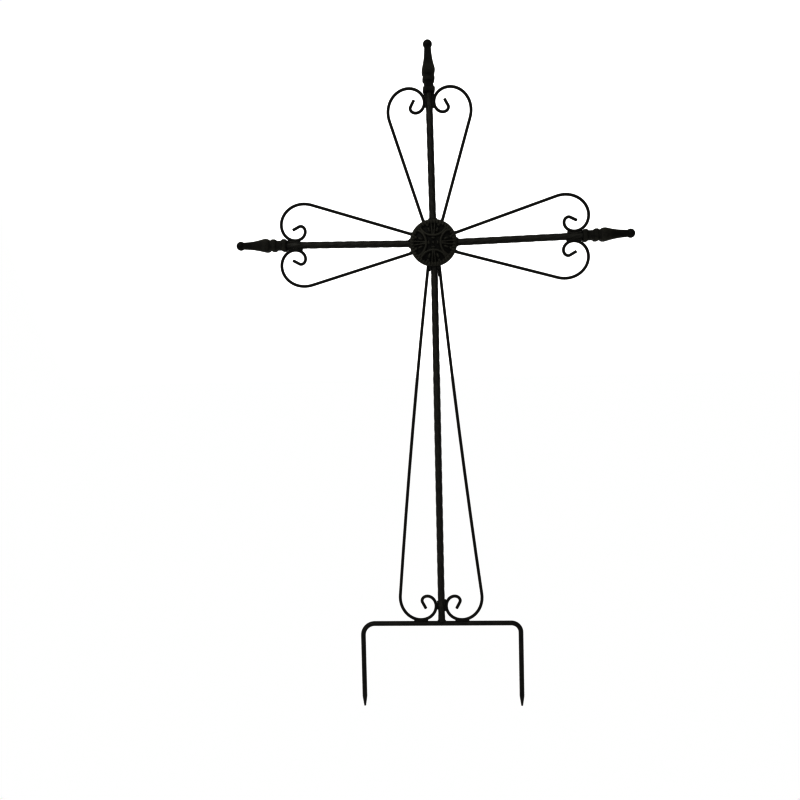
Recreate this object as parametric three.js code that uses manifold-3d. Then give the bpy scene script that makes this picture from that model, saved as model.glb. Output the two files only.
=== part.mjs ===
// A wrought iron grave cross on a two-pronged ground stake, in millimetres.
// X runs to the viewer's right, Z runs up and the front faces -Y. The origin is on the ground line:
// the underside of the stake's crossbar, below the post, where the tines enter the soil.
import * as THREE from "three";
import { mergeVertices } from "three/addons/utils/BufferGeometryUtils.js";
import Module from "manifold-3d";

const wasm = await Module();
wasm.setup();

// Driving dimensions: the cross as a whole
const CROSS_HEIGHT = 775; // ground line to the centre of the medallion
const ARM_REACH = 398.7; // centre of the medallion to the tip of the left finial's ball
const TOP_ARM_LONGER = 1.4; // what the top and right bars have over the left one
const RIGHT_ARM_LONGER = -1.1;
const LEFT_ARM_RISE = 0.95; // degrees that each side arm was welded above level
const RIGHT_ARM_RISE = 1.15;
const TOP_ARM_LEAN = 0.55; // degrees that the top arm leans to the left
const TOP_FINIAL_TURN = 4; // degrees that the top finial was welded askew, about its own axis
const POST_ASIDE = 0.6; // how far the post was welded to the right of the medallion's middle
const WELD_GAP = 0.3; // left between neighbouring pieces, where the cross is welded

// The stake: one round rod bent into a crossbar and two pointed tines
const ROD = 9;
const ROD_SIDES = 12;
const TINE_SPACING = 322;
const TINE_DEPTH = 166.5; // ground line to the tips
const LEFT_BEND = 24; // radius of each corner, at the middle of the rod
const RIGHT_BEND = 19;
const BEND_STEPS = 5;
const POINT_LENGTH = 20;
const POINT_WIDTH = 3;

// The bars: six-sided with worn corners, twisted to the left
const BAR_WIDTH = 12.6; // across the flats
const BAR_CORNERS = 6;
const BAR_CORNER = 8; // degrees that a worn corner spreads to each side of the bar's diagonal
const TWIST_LENGTH = 147; // length of bar for one whole turn
const TWIST_STEP = 45; // degrees of twist from one cross section to the next
const UPRIGHT_START = 0.2; // the post and the top bar meet end to end at the crossing
const SIDE_START = 7.6; // the side bars butt against them
const POST_CORNER_AT = 1; // distance from the crossing where a corner of the post lies to the side

// The scrolls: a leg of round wire from the medallion, then a spiral that closes in beside the bar
const WIRE = 5.5;
const WIRE_SIDES = 8;
const SPIRAL_RADIUS = 52.9; // where the wire runs parallel to its bar
const SPIRAL_SHRINK = 232; // degrees of turn that divide the spiral's radius by e
const HOOK_FROM = 200; // degrees of turn after which the spiral closes in faster, into a hook
const HOOK_SHRINK = 143; // the same measure of the hook
const SPIRAL_TURN = 388; // degrees of turn from the parallel run to the tail
const SPIRAL_STEPS = 23;
const FINE_STEPS = 8; // the spiral is walked in this many finer steps to each of its own
const SCROLL_TAIL = 14.7;
// Each leg: its start, its mean angle to the bar and its bow, the change of that angle along it
const SHORT_LEG = { out: 16, aside: 10.3, angle: 16.96, bow: 0, length: 239.1, steps: 1 };
const LOWER_LEFT_LEG = { out: 30, aside: 10.29, angle: 6.13, bow: -2.26, length: 686, steps: 4 };
const LOWER_RIGHT_LEG = { out: 42, aside: 9.93, angle: 6.19, bow: 2.02, length: 672.2, steps: 4 };
const UPPER_RIGHT_LONGER = 1.5; // what two of the short legs have over the other four
const UNDER_RIGHT_LONGER = -1.6;

// The medallion: a round casting on the front of the crossing, with four ridged arcs back to back and
// a fan of ribs in each. Its depths are counted forwards from the bars' middle.
const MEDALLION_RADIUS = 47;
const MEDALLION_SIDES = 44;
const MEDALLION_BACK = 7.1; // the plain back, just clear of the bars' corners
const FIELD_RADIUS = 38; // the domed field inside the raised rim
const FIELD_EDGE = 10.8; // how far the field stands out at its edge
const FIELD_RISE = 5.5; // how much further it stands out at the centre
const FIELD_STEPS = 2;
const RIM_FRONT = 12.3;
const RIM_EDGE = 1.5;
const BEAD = 5.2; // beads along the rim, one to each side of the medallion
const BEAD_LENGTH = 6.6; // the same beads, out along the medallion's radius
const ARC_APEX = 14.1; // centre of the medallion to the nearest point of an arc
const ARC_RADIUS = 28;
const ARC_SPREAD = 62; // degrees from the middle of an arc to its ends
const ARC_STEPS = 6;
const RIDGE_WIDTH = 4.4;
const RIDGE_HEIGHT = 2.6;
const RIDGE_TOP = 0.4; // share of a ridge's width that its top keeps
const RIDGE_FOOT = 2; // how far a ridge's foot reaches into the field
const RIB_ANGLES = [-17, -5.5, 5.5, 17];
const RIB_END = 37;
const RIB_WIDTH = 3.4;
const RIB_HEIGHT = 2;
const ROSETTE_RADIUS = 9;
const PETAL_LENGTH = 8;
const PETAL_WIDTH = 4.4;

// The finials, by distance from the medallion's centre: half width, and the degrees that the corners
// spread to each side of the diagonal, from a worn square to an even octagon
const SQUARE = 9;
const ROUND = 22.5;
const FINIAL_PROFILE = [
  [296, 9.6, SQUARE],
  [297.5, 11.6, SQUARE],
  [303.5, 11.6, SQUARE],
  [305.5, 9.5, SQUARE],
  [308, 8.9, SQUARE],
  [314.5, 8.9, SQUARE],
  [317, 9.7, SQUARE],
  [318.5, 11.6, SQUARE],
  [325, 11.6, SQUARE],
  [327, 10, SQUARE],
  [329.5, 10, SQUARE],
  [333, 12.2, SQUARE],
  [338, 12.7, SQUARE],
  [345, 11.3, SQUARE],
  [354, 9.4, SQUARE],
  [364, 7.7, 14],
  [373, 6.8, 18],
  [381, 6.4, ROUND],
];
const BALL_RADIUS = 8.8;
const BALL_STEPS = 6;
const BALL_FLAT = 1; // half width of the worn spot at the ball's tip

const HALF_TURN = Math.PI;
const FINIAL_CORNERS = 4;
const QUARTERS = 4;
const ROD_MIDDLE = ROD / 2; // height of the crossbar's centre line
const FINIAL_FOOT = FINIAL_PROFILE[0][0];

const radians = THREE.MathUtils.degToRad;

// Materials
function blackIron(roughness) {
  return new THREE.MeshStandardMaterial({ color: 0x1c1b17, roughness, metalness: 0.5 });
}
const WROUGHT = 0.55;
const CAST = 0.65;

const cross = new THREE.Group();

function addPiece(parent, name, geometry, roughness) {
  const piece = new THREE.Mesh(geometry, blackIron(roughness));
  piece.name = name;
  parent.add(piece);
}

// Sweeping a section along stations in the XZ plane, each a point and the direction of travel there
class StationCurve extends THREE.Curve {
  constructor(stations) {
    super();
    this.stations = stations;
  }
  stationAt(t) {
    return this.stations[Math.round(t * (this.stations.length - 1))];
  }
  getPoint(t, target = new THREE.Vector3()) {
    const { x, z } = this.stationAt(t);
    return target.set(x, 0, z);
  }
  getTangent(t, target = new THREE.Vector3()) {
    const { heading } = this.stationAt(t);
    return target.set(Math.cos(heading), 0, Math.sin(heading));
  }
  getUtoTmapping(u) {
    return u;
  }
}

function polygon(sides, radius) {
  const points = [];
  for (let i = 0; i < sides; i++) {
    const angle = ((i + 0.5) * 2 * HALF_TURN) / sides;
    points.push(new THREE.Vector2(radius * Math.cos(angle), radius * Math.sin(angle)));
  }
  return new THREE.Shape(points);
}

function sweep(section, stations) {
  return new THREE.ExtrudeGeometry(section, {
    steps: stations.length - 1,
    extrudePath: new StationCurve(stations),
    bevelEnabled: false,
  });
}

// Turning the sides of a lathe into a section of flats and spread corners, along +X.
// The profile's rows are [distance along X, half width, corner spread in degrees].
function cornerTurned(rows, corners) {
  const first = rows[0];
  const last = rows[rows.length - 1];
  const even = 90 / corners; // corner spread of a section whose sides are all alike
  const outline = [[first[0], 0, even], ...rows, [last[0], 0, even]];
  const profile = outline.map(([along, half]) => new THREE.Vector2(half, along));
  const sides = 2 * corners;
  const wedge = (2 * HALF_TURN) / corners;
  const geometry = new THREE.LatheGeometry(profile, sides, HALF_TURN / sides, 2 * HALF_TURN);
  const position = geometry.getAttribute("position");
  for (let i = 0; i < position.count; i++) {
    const [along, half, spread] = outline[i % outline.length];
    const angle = Math.atan2(position.getZ(i), position.getX(i));
    const diagonal = (Math.floor(angle / wedge) + 0.5) * wedge;
    const turned = diagonal + Math.sign(angle - diagonal) * radians(spread);
    const radius = half / Math.cos(wedge / 2 - radians(spread));
    position.setXYZ(i, radius * Math.cos(turned), along, radius * Math.sin(turned));
  }
  return geometry.rotateZ(-HALF_TURN / 2);
}

// A twisted bar along +X, with a corner to the side at the distance cornerAt
function twistedBar(from, to, cornerAt) {
  const turn = ((to - from) / TWIST_LENGTH) * 360;
  const steps = Math.ceil(turn / TWIST_STEP);
  const rows = [];
  for (let i = 0; i <= steps; i++) {
    rows.push([from + ((to - from) * i) / steps, BAR_WIDTH / 2, BAR_CORNER]);
  }
  const geometry = cornerTurned(rows, BAR_CORNERS);
  const position = geometry.getAttribute("position");
  const point = new THREE.Vector3();
  const axis = new THREE.Vector3(1, 0, 0);
  for (let i = 0; i < position.count; i++) {
    point.fromBufferAttribute(position, i);
    const twist = -((point.x - cornerAt) / TWIST_LENGTH) * 2 * HALF_TURN;
    point.applyAxisAngle(axis, twist);
    position.setXYZ(i, point.x, point.y, point.z);
  }
  return geometry;
}

// The scroll's radius after a turn in degrees, counted from where the wire runs parallel to its bar
function spiralRadius(turn) {
  const wide = Math.min(turn, HOOK_FROM) / SPIRAL_SHRINK;
  const tight = Math.max(turn - HOOK_FROM, 0) / HOOK_SHRINK;
  return SPIRAL_RADIUS * Math.exp(-wide - tight);
}

// A scroll beside a bar that runs along +X: side 1 lies towards +Z, side -1 towards -Z
function scroll(leg, side) {
  const stations = [];
  let { out, aside } = leg;
  const mark = (degrees) => {
    stations.push({ x: out, z: side * aside, heading: side * radians(degrees) });
  };
  const walk = (length, degrees) => {
    out += length * Math.cos(radians(degrees));
    aside += length * Math.sin(radians(degrees));
  };
  for (let i = 0; i < leg.steps; i++) {
    const start = leg.angle + leg.bow * (i / leg.steps - 0.5);
    mark(start);
    walk(leg.length / leg.steps, start + leg.bow / leg.steps / 2);
  }
  const entry = -leg.angle - leg.bow / 2;
  const fineSteps = SPIRAL_STEPS * FINE_STEPS;
  const fineTurn = (SPIRAL_TURN - entry) / fineSteps;
  for (let i = 0; i < fineSteps; i++) {
    const turn = entry + i * fineTurn;
    if (i % FINE_STEPS === 0) {
      mark(-turn);
    }
    const middle = turn + fineTurn / 2;
    walk(spiralRadius(middle) * radians(fineTurn), -middle);
  }
  mark(-SPIRAL_TURN);
  walk(SCROLL_TAIL, -SPIRAL_TURN);
  mark(-SPIRAL_TURN);
  return sweep(polygon(WIRE_SIDES, WIRE / 2), stations);
}

function finial() {
  const rows = [...FINIAL_PROFILE];
  const neckHalf = rows[rows.length - 1][1];
  const ballCentre = ARM_REACH - BALL_RADIUS;
  const ballFrom = HALF_TURN - Math.asin(neckHalf / BALL_RADIUS);
  for (let i = 0; i < BALL_STEPS; i++) {
    const angle = ballFrom * (1 - i / BALL_STEPS);
    rows.push([ballCentre + BALL_RADIUS * Math.cos(angle), BALL_RADIUS * Math.sin(angle), ROUND]);
  }
  rows.push([ARM_REACH, BALL_FLAT, ROUND]);
  return cornerTurned(rows, FINIAL_CORNERS);
}

// Half of the stake: from the tip of the left tine, up and round the corner to the crossbar
function leftStake(bend) {
  const edge = TINE_SPACING / 2;
  const stations = [-TINE_DEPTH, POINT_LENGTH - TINE_DEPTH].map((z) => {
    return { x: -edge, z, heading: HALF_TURN / 2 };
  });
  for (let i = 0; i <= BEND_STEPS; i++) {
    const heading = (HALF_TURN / 2) * (1 - i / BEND_STEPS);
    const x = bend * (1 - Math.sin(heading)) - edge;
    const z = ROD_MIDDLE - bend * (1 - Math.cos(heading));
    stations.push({ x, z, heading });
  }
  return stations;
}

function stake() {
  const left = leftStake(LEFT_BEND);
  const right = leftStake(RIGHT_BEND).reverse();
  const mirrored = right.map(({ x, z, heading }) => ({ x: -x, z, heading: -heading }));
  const radius = ROD / 2 / Math.cos(HALF_TURN / ROD_SIDES);
  const geometry = sweep(polygon(ROD_SIDES, radius), [...left, ...mirrored]);
  const position = geometry.getAttribute("position");
  for (let i = 0; i < position.count; i++) {
    if (position.getZ(i) > POINT_LENGTH / 2 - TINE_DEPTH) {
      continue;
    }
    const middle = (Math.sign(position.getX(i)) * TINE_SPACING) / 2;
    const taper = POINT_WIDTH / ROD;
    position.setX(i, middle + (position.getX(i) - middle) * taper);
    position.setY(i, position.getY(i) * taper);
  }
  return geometry;
}

// Joining closed meshes into one casting
function solidOf(geometry) {
  const bare = geometry.clone();
  bare.deleteAttribute("normal");
  bare.deleteAttribute("uv");
  const merged = mergeVertices(bare, 1e-4);
  const mesh = new wasm.Mesh({
    numProp: 3,
    vertProperties: new Float32Array(merged.getAttribute("position").array),
    triVerts: new Uint32Array(merged.index.array),
  });
  return new wasm.Manifold(mesh);
}

function geometryOf(solid) {
  const mesh = solid.getMesh();
  const geometry = new THREE.BufferGeometry();
  geometry.setAttribute("position", new THREE.BufferAttribute(mesh.vertProperties, 3));
  geometry.setIndex(new THREE.BufferAttribute(mesh.triVerts, 1));
  return geometry;
}

// How far the medallion's domed field stands out
function fieldAt(radius) {
  return FIELD_EDGE + FIELD_RISE * (1 - (radius / FIELD_RADIUS) ** 2);
}

// A ridge with sloping sides that follows the field through points of the medallion's face
function ridge(points, width, height) {
  const steps = points.length - 1;
  const geometry = new THREE.BoxGeometry(1, 1, 1, 1, 1, steps);
  const position = geometry.getAttribute("position");
  for (let i = 0; i < position.count; i++) {
    const station = Math.round((position.getZ(i) + 0.5) * steps);
    const point = points[station];
    const before = points[Math.max(station - 1, 0)];
    const after = points[Math.min(station + 1, steps)];
    const along = after.clone().sub(before).normalize();
    const isTop = position.getY(i) > 0;
    const aside = position.getX(i) * width * (isTop ? RIDGE_TOP : 1);
    const front = fieldAt(point.length()) + (isTop ? height : -RIDGE_FOOT);
    position.setXYZ(i, point.x - aside * along.y, -front, point.y + aside * along.x);
  }
  return geometry;
}

function arcPoints(direction) {
  const points = [];
  for (let i = 0; i <= ARC_STEPS; i++) {
    const angle = radians(ARC_SPREAD * ((2 * i) / ARC_STEPS - 1));
    const out = ARC_APEX + ARC_RADIUS * (1 - Math.cos(angle));
    const aside = ARC_RADIUS * Math.sin(angle);
    points.push(new THREE.Vector2(aside, out).rotateAround(new THREE.Vector2(), direction));
  }
  return points;
}

// Where an arc crosses the line that leaves the centre at an angle from the arc's middle
function arcDistance(angle) {
  const centre = ARC_APEX + ARC_RADIUS;
  const side = centre * Math.sin(angle);
  return centre * Math.cos(angle) - Math.sqrt(ARC_RADIUS ** 2 - side ** 2);
}

function medallion() {
  const profile = [
    [0, MEDALLION_BACK],
    [MEDALLION_RADIUS - RIM_EDGE, MEDALLION_BACK],
    [MEDALLION_RADIUS, MEDALLION_BACK + RIM_EDGE],
    [MEDALLION_RADIUS, RIM_FRONT - 2 * RIM_EDGE],
    [MEDALLION_RADIUS - 2 * RIM_EDGE, RIM_FRONT],
    [FIELD_RADIUS + RIM_EDGE, RIM_FRONT],
  ];
  for (let i = FIELD_STEPS; i >= 0; i--) {
    const radius = (FIELD_RADIUS * i) / FIELD_STEPS;
    profile.push([radius, fieldAt(radius)]);
  }
  const outline = profile.map(([radius, front]) => new THREE.Vector2(radius, front));
  const blank = new THREE.LatheGeometry(outline, MEDALLION_SIDES).rotateX(HALF_TURN);
  const raised = [];
  for (let quarter = 0; quarter < QUARTERS; quarter++) {
    const direction = (quarter * HALF_TURN) / 2;
    raised.push(ridge(arcPoints(direction), RIDGE_WIDTH, RIDGE_HEIGHT));
    for (const degrees of RIB_ANGLES) {
      const angle = radians(degrees);
      const start = arcDistance(angle) + RIDGE_WIDTH / 4;
      const points = [start, RIB_END].map((distance) => {
        const spot = new THREE.Vector2(distance * Math.sin(angle), distance * Math.cos(angle));
        return spot.rotateAround(new THREE.Vector2(), direction);
      });
      raised.push(ridge(points, RIB_WIDTH, RIB_HEIGHT));
    }
    const petal = new THREE.OctahedronGeometry(0.5);
    petal.scale(PETAL_LENGTH, PETAL_WIDTH, PETAL_WIDTH);
    petal.translate(0, -fieldAt(ROSETTE_RADIUS), ROSETTE_RADIUS);
    raised.push(petal.rotateY(direction));
  }
  const beadCircle = (MEDALLION_RADIUS - 2 * RIM_EDGE + FIELD_RADIUS + RIM_EDGE) / 2;
  for (let i = 0; i < MEDALLION_SIDES; i++) {
    const bead = new THREE.OctahedronGeometry(BEAD / 2);
    bead.scale(1, 1, BEAD_LENGTH / BEAD);
    bead.translate(0, -RIM_FRONT, beadCircle);
    raised.push(bead.rotateY(((i + 0.5) * 2 * HALF_TURN) / MEDALLION_SIDES));
  }
  let casting = solidOf(blank);
  for (const relief of raised) {
    casting = casting.add(solidOf(relief));
  }
  return geometryOf(casting);
}

// The arms, each a group at the medallion's centre whose +X runs outwards along the arm.
// cornerAt is where a corner of the twisted bar lies to the side, and finialTurn is in degrees about the arm.
// Each scroll has the side of the bar that it lies on, and what its leg has over the others.
const arms = [
  {
    name: "top",
    angle: 90 + TOP_ARM_LEAN,
    start: UPRIGHT_START,
    longer: TOP_ARM_LONGER,
    cornerAt: 2,
    finialTurn: TOP_FINIAL_TURN,
    scrolls: { left: [1, 0], right: [-1, 0] },
  },
  {
    name: "left",
    angle: 180 - LEFT_ARM_RISE,
    start: SIDE_START,
    longer: 0,
    cornerAt: 17.5,
    finialTurn: 0,
    scrolls: { upper: [-1, 0], lower: [1, 0] },
  },
  {
    name: "right",
    angle: RIGHT_ARM_RISE,
    start: SIDE_START,
    longer: RIGHT_ARM_LONGER,
    cornerAt: 22.5,
    finialTurn: 0,
    scrolls: { upper: [1, UPPER_RIGHT_LONGER], lower: [-1, UNDER_RIGHT_LONGER] },
  },
];

function armGroup(angle) {
  const group = new THREE.Group();
  group.position.z = CROSS_HEIGHT;
  group.rotation.y = -radians(angle);
  cross.add(group);
  return group;
}

addPiece(cross, "ground_stake", stake(), WROUGHT);

const centre = new THREE.Group();
centre.position.z = CROSS_HEIGHT;
cross.add(centre);
addPiece(centre, "medallion", medallion(), CAST);

for (const { name, angle, start, longer, cornerAt, finialTurn, scrolls } of arms) {
  const arm = armGroup(angle);
  const bar = twistedBar(start, FINIAL_FOOT + longer - WELD_GAP, cornerAt);
  addPiece(arm, `${name}_arm`, bar, WROUGHT);
  const casting = finial().rotateX(radians(finialTurn)).translate(longer, 0, 0);
  addPiece(arm, `${name}_finial`, casting, CAST);
  for (const [place, [side, legLonger]] of Object.entries(scrolls)) {
    const leg = { ...SHORT_LEG, length: SHORT_LEG.length + legLonger };
    addPiece(arm, `${name}_scroll_${place}`, scroll(leg, side), WROUGHT);
  }
}

const post = armGroup(-90);
post.position.x = POST_ASIDE;
const postFoot = CROSS_HEIGHT - ROD - WELD_GAP;
const postBar = twistedBar(UPRIGHT_START, postFoot, POST_CORNER_AT);
addPiece(post, "post", postBar, WROUGHT);

addPiece(post, "lower_scroll_left", scroll(LOWER_LEFT_LEG, -1), WROUGHT);
addPiece(post, "lower_scroll_right", scroll(LOWER_RIGHT_LEG, 1), WROUGHT);

export default cross;
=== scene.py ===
"""Dresses a wrought iron grave cross: twisted bars, wire scrolls, castings, welds and black paint."""

import math

import bpy
from bpy.props import FloatProperty, FloatVectorProperty, IntProperty, PointerProperty
from mathutils import Matrix, Vector


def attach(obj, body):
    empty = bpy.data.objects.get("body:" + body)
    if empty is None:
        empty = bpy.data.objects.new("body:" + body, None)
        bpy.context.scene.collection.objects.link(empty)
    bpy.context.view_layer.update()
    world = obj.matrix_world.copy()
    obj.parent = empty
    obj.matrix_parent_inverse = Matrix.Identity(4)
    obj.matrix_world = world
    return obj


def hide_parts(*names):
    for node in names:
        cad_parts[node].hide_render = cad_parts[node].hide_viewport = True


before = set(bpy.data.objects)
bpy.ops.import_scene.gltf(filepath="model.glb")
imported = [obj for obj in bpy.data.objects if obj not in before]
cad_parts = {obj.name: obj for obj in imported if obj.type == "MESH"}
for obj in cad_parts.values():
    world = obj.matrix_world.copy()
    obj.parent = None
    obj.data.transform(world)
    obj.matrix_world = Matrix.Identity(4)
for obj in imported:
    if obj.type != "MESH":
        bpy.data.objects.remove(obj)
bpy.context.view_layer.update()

bl_info = {
    "name": "Wrought iron grave cross",
    "version": (1, 0, 0),
    "blender": (4, 5, 0),
    "location": "View3D > Sidebar > Iron cross",
    "description": "Models a wrought iron grave cross on a two-pronged ground stake",
    "category": "Add Mesh",
}

MM = 0.001
QUARTER = math.pi / 2
WHOLE_TURN = 2 * math.pi
MERGE_DISTANCE = 1e-6
SMOOTH_ANGLE = math.radians(42)

# Each arm, in degrees and millimetres: its direction seen from the front, where its bar starts beside the
# crossing, what the bar has over the left one, where a corner of the twisted bar lies to the side, and how
# far the finial was welded askew about its own axis. Each scroll has the side of the bar that it lies on,
# what its leg has over the others, and how far its weld runs back from the spot where it touches the bar.
ARMS = {
    "top": {"angle": 90.55, "start": 0.2, "longer": 1.4, "corner_at": 2, "finial_turn": 4,
            "scrolls": {"left": (1, 0, 9), "right": (-1, 0, 10.5)}},
    "left": {"angle": 179.05, "start": 7.6, "longer": 0, "corner_at": 17.5, "finial_turn": 0,
             "scrolls": {"upper": (-1, 0, 8.5), "lower": (1, 0, 13)}},
    "right": {"angle": 1.15, "start": 7.6, "longer": -1.1, "corner_at": 22.5, "finial_turn": 0,
              "scrolls": {"upper": (1, 1.5, 13), "lower": (-1, -1.6, 12)}},
}
POST_ANGLE = -90
POST_START = 0.2
POST_CORNER_AT = 1
POST_SUNK = 1 * MM  # how far the post's foot reaches into the crossbar

# The stock: rings along a twisted bar, bends of the stake and the round of rod and wire
BAR_SIDES = 6
RING_SPACING = 5 * MM
MOST_CUTS = 100  # what one subdivision can make
CORNER_STANDS = 0.6 * MM  # height over the flats at which a bar's corner takes full thinned paint and painted highlight
ROD_SIDES = 24
BEND_STEPS = 18
WIRE_SIDES = 20
WIRE_END = 0.5 * MM  # rounding of a wire's cut end
LEG_STEPS = 8

# Each leg of a scroll, in millimetres and degrees: its start, its mean angle to the bar, its bow and its
# length. The lower ones also have their side of the post, and how far the weld of their scroll reaches.
SHORT_LEG = {"out": 16, "aside": 10.3, "angle": 16.96, "bow": 0, "length": 239.1}
LOWER_LEGS = {
    "left": {"out": 30, "aside": 10.29, "angle": 6.13, "bow": -2.26, "length": 686,
             "side": -1, "weld": 7},
    "right": {"out": 42, "aside": 9.93, "angle": 6.19, "bow": 2.02, "length": 672.2,
              "side": 1, "weld": 10},
}

# The finial from its foot into its ball, in millimetres: distance from the medallion and half width
FINIAL_PROFILE = (
    (296, 7), (296, 9.3), (296.4, 10.7), (297.4, 11.7), (303.2, 11.7), (304.8, 11.1), (305.8, 9.5),
    (308, 8.9), (314.5, 8.9), (316.6, 9.5), (317.8, 11.1), (319.2, 11.7), (324, 11.7),
    (325.8, 11.3), (326.8, 9.8), (329.4, 9.5), (331, 11.2), (333.6, 12.4), (338, 12.8),
    (341.5, 12.3), (345, 11.4), (349.5, 10.3), (354, 9.4), (359, 8.5), (364, 7.7), (373, 6.8),
    (382, 6.4), (387, 6.1), (389, 4.9),
)
# Paint that is thinned on a finial, with a painted highlight: for each millimetre that it is wider than its
# waist, and on its corners
FINIAL_WAIST = 8.5
COLLAR_RUB_AND_SHEEN = 0.08
CORNER_RUB_AND_SHEEN = 0.6

# The medallion's rim from back to field, in millimetres: radius, and distance before the bars' middle
MEDALLION_RIM = ((45.5, 7.1), (47, 8.4), (47, 9.3), (46.2, 11), (44, 12), (39.8, 12), (38.4, 10))
PLATE_SIDES = 96

# The medallion's face, in metres: a dome that the relief rises to, and the field that is sunk behind it
FIELD_RADIUS = 0.038
FIELD_EDGE = 0.0108
FIELD_DOME = 0.0055
FIELD_SUNK = 0.002
FIELD_RADII = (0.0375, 0.032, 0.026, 0.019, 0.012, 0.006)
RELIEF_STANDS = 0.0042  # height over the field at which the relief takes full thinned paint and painted highlight
CASTING_GRAIN = 0.00055  # finest detail that the casting keeps

# The arc of each quarter: a foot and a crest, each with its width and its height over the dome
ARC_APEX = 0.0141
ARC_RADIUS = 0.028
ARC_SPREAD = math.radians(65)
ARC_STEPS = 24
ARC_FOOT = (0.006, -0.0013)
ARC_CREST = (0.0048, 0.0003)
RIDGE_SIDES = 12

# The ribs of each quarter, by degrees from its middle, along radii of the face
RIBS = (-5.5, 5.5)
RIB_RADII = (0.0155, 0.023, 0.03, 0.0395)
RIB_WIDTH = 0.0033
RIB_LIFT = 0.0002
RIB_FOOT_WIDER = 0.0012
RIB_FOOT_LOWER = 0.0016

# The rounded lumps of the face: distance from its centre, and size across, out of and along the radius
DROPS = (-18, 18)  # degrees from the middle of a quarter
DROP_AT = 0.0266
DROP_SIZE = (0.0052, 0.0072, 0.0112)
KNOB_AT = 0.0362
KNOB_SIZE = (0.0064, 0.0076, 0.0064)
PETAL_AT = 0.0088
PETAL_SIZE = (0.0088, 0.006, 0.0044)
CENTRE_SIZE = (0.0056, 0.0056, 0.0056)
BEADS = 44
BEAD_AT = 0.0416
BEAD_FRONT = 0.0116
BEAD_SIZE = (0.005, 0.0056, 0.0078)

# Lumps of weld, in millimetres and degrees: how far along the bar from the medallion's centre and how far
# beside it, size along, through and across the bar, turn, and how far in front of its middle. Each arm has
# these on both sides: from bar to medallion, from leg to medallion, and from the end of the leg to the bar.
ARM_LUMPS = (
    (47, 6.4, (8, 6, 5), 35, 4.6),
    (44.5, 18.7, (8, 6, 6.5), -17, 4.4),
    (19, 8.4, (10, 5.6, 4.5), -17, 0),
)
FINIAL_LUMP = (293.6, 7, (7, 7, 6), 0, 0)
# On both sides of the post: the corners of the crossing and the medallion's back, and then the foot
POST_LUMPS = (
    (7.4, 7.4, (7, 9, 7), 0, 0),
    (-7.4, 7.4, (7, 9, 7), 0, 0),
    (48, 7.6, (10, 8, 7), 0, 3),
)
FOOT_LUMP = (765.4, 6.2, (4.5, 8, 4.5), 40, 0)
# Single ones: behind the crossing, and where each lower leg starts
SINGLE_LUMPS = (
    (0, 0, (6, 3.4, 9), 0, -5.2),
    (57, 8.2, (20, 4.5, 3), 0, 0),
    (51, -9.2, (9, 5, 5), 0, 0),
)

# Seams of weld where a scroll touches its bar or the crossbar, in millimetres: the spot along the bar and
# beside it, the scroll's radius there, and the size of a lump along, through and across the bar
SHORT_TOUCH = 279
LOWER_TOUCH = 733
BAR_SEAM_AFTER = 13
BAR_SEAM_ASIDE = 6.35
BAR_SEAM_BEND = 24
BAR_SEAM_SIZE = (4.6, 6.4, 4.3)
CROSSBAR_SEAM_AT = 765.6
CROSSBAR_SEAM_ASIDE = 42
CROSSBAR_SEAM_REACH = 12
CROSSBAR_SEAM_BEND = 36
CROSSBAR_SEAM_SIZE = (3.2, 5.6, 4.6)
LUMP_STEP = 2.6
SEAM_FADE = 0.5  # what a seam's ends lose of its thickness
RIPPLE = 0.1
RIPPLE_TURN = 2.3
WELD_GRAIN = 0.0006  # finest detail that a weld keeps
# Welds are lighter all over, partly as bare weld metal and partly as painted glints
WELD_BARE_METAL_AND_GLINTS = 0.4

# The stage: the broad lights by the direction that they come from, the cosine of the angle at which they
# begin and their strength, and the hard contrast of a print
PRINT_GAMMA = 0.4545
SOFTBOXES = (
    ((-0.3, -0.85, 0.45), -0.1, 1.5),
    ((0.15, 0.95, 0.25), 0.5, 1.3),
)
SOFTBOX_FULL = 0.9  # cosine of the angle within which a broad light is full
ROOM_LIGHT = 0.1
KEY_STRENGTH = 1.5
KEY_SPREAD = math.radians(30)
KEY_TURN = (math.radians(55), 0, math.radians(-30))
FLOOR_SIZE = 60
SENSOR = 36


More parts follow.
